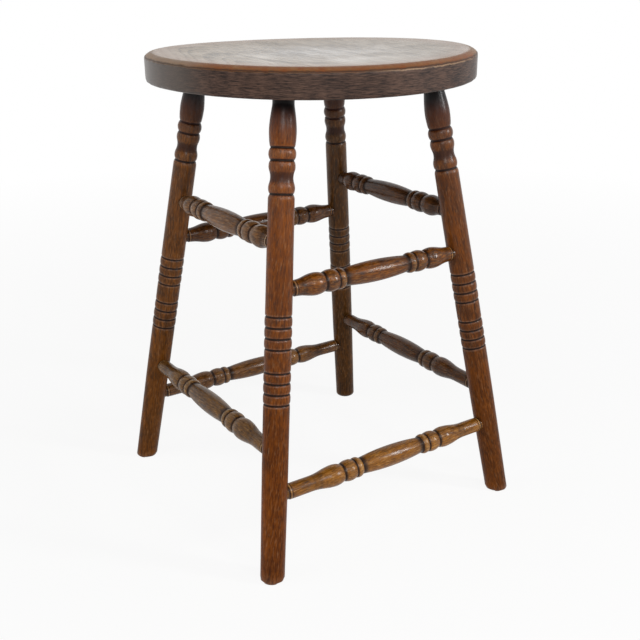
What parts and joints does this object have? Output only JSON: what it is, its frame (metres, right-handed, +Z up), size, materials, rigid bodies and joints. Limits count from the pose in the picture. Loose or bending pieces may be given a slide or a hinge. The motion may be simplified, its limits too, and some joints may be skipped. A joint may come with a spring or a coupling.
{
  "type": "stool",
  "caption": "Round-seated wooden stool on splayed turned legs, tied by upper and lower turned stretchers.",
  "frame": {"origin": "on the floor, under the middle of the seat", "axes": "+Z up; -Y is the front, so the front and back stretchers run along X and the left and right ones along Y; the legs stand at the four corners"},
  "size_m": [0.452, 0.452, 0.662],
  "materials": {
    "seat_wood": "dark stained and waxed hardwood, worn and glossy on top, with a rubbed orange-brown bevel",
    "leg_wood": "stained and varnished turned hardwood with blackened cuts",
    "stretcher_wood": "stained turned hardwood, worn lighter where feet have rubbed"
  },
  "bodies": {
    "root": {"seat": "seat_wood", "leg_front_left": "leg_wood", "leg_front_right": "leg_wood", "leg_back_left": "leg_wood", "leg_back_right": "leg_wood", "upper_stretcher_front": "stretcher_wood", "upper_stretcher_back": "stretcher_wood", "upper_stretcher_left": "stretcher_wood", "upper_stretcher_right": "stretcher_wood", "lower_stretcher_front": "stretcher_wood", "lower_stretcher_back": "stretcher_wood", "lower_stretcher_left": "stretcher_wood", "lower_stretcher_right": "stretcher_wood"}
  },
  "joints": []
}
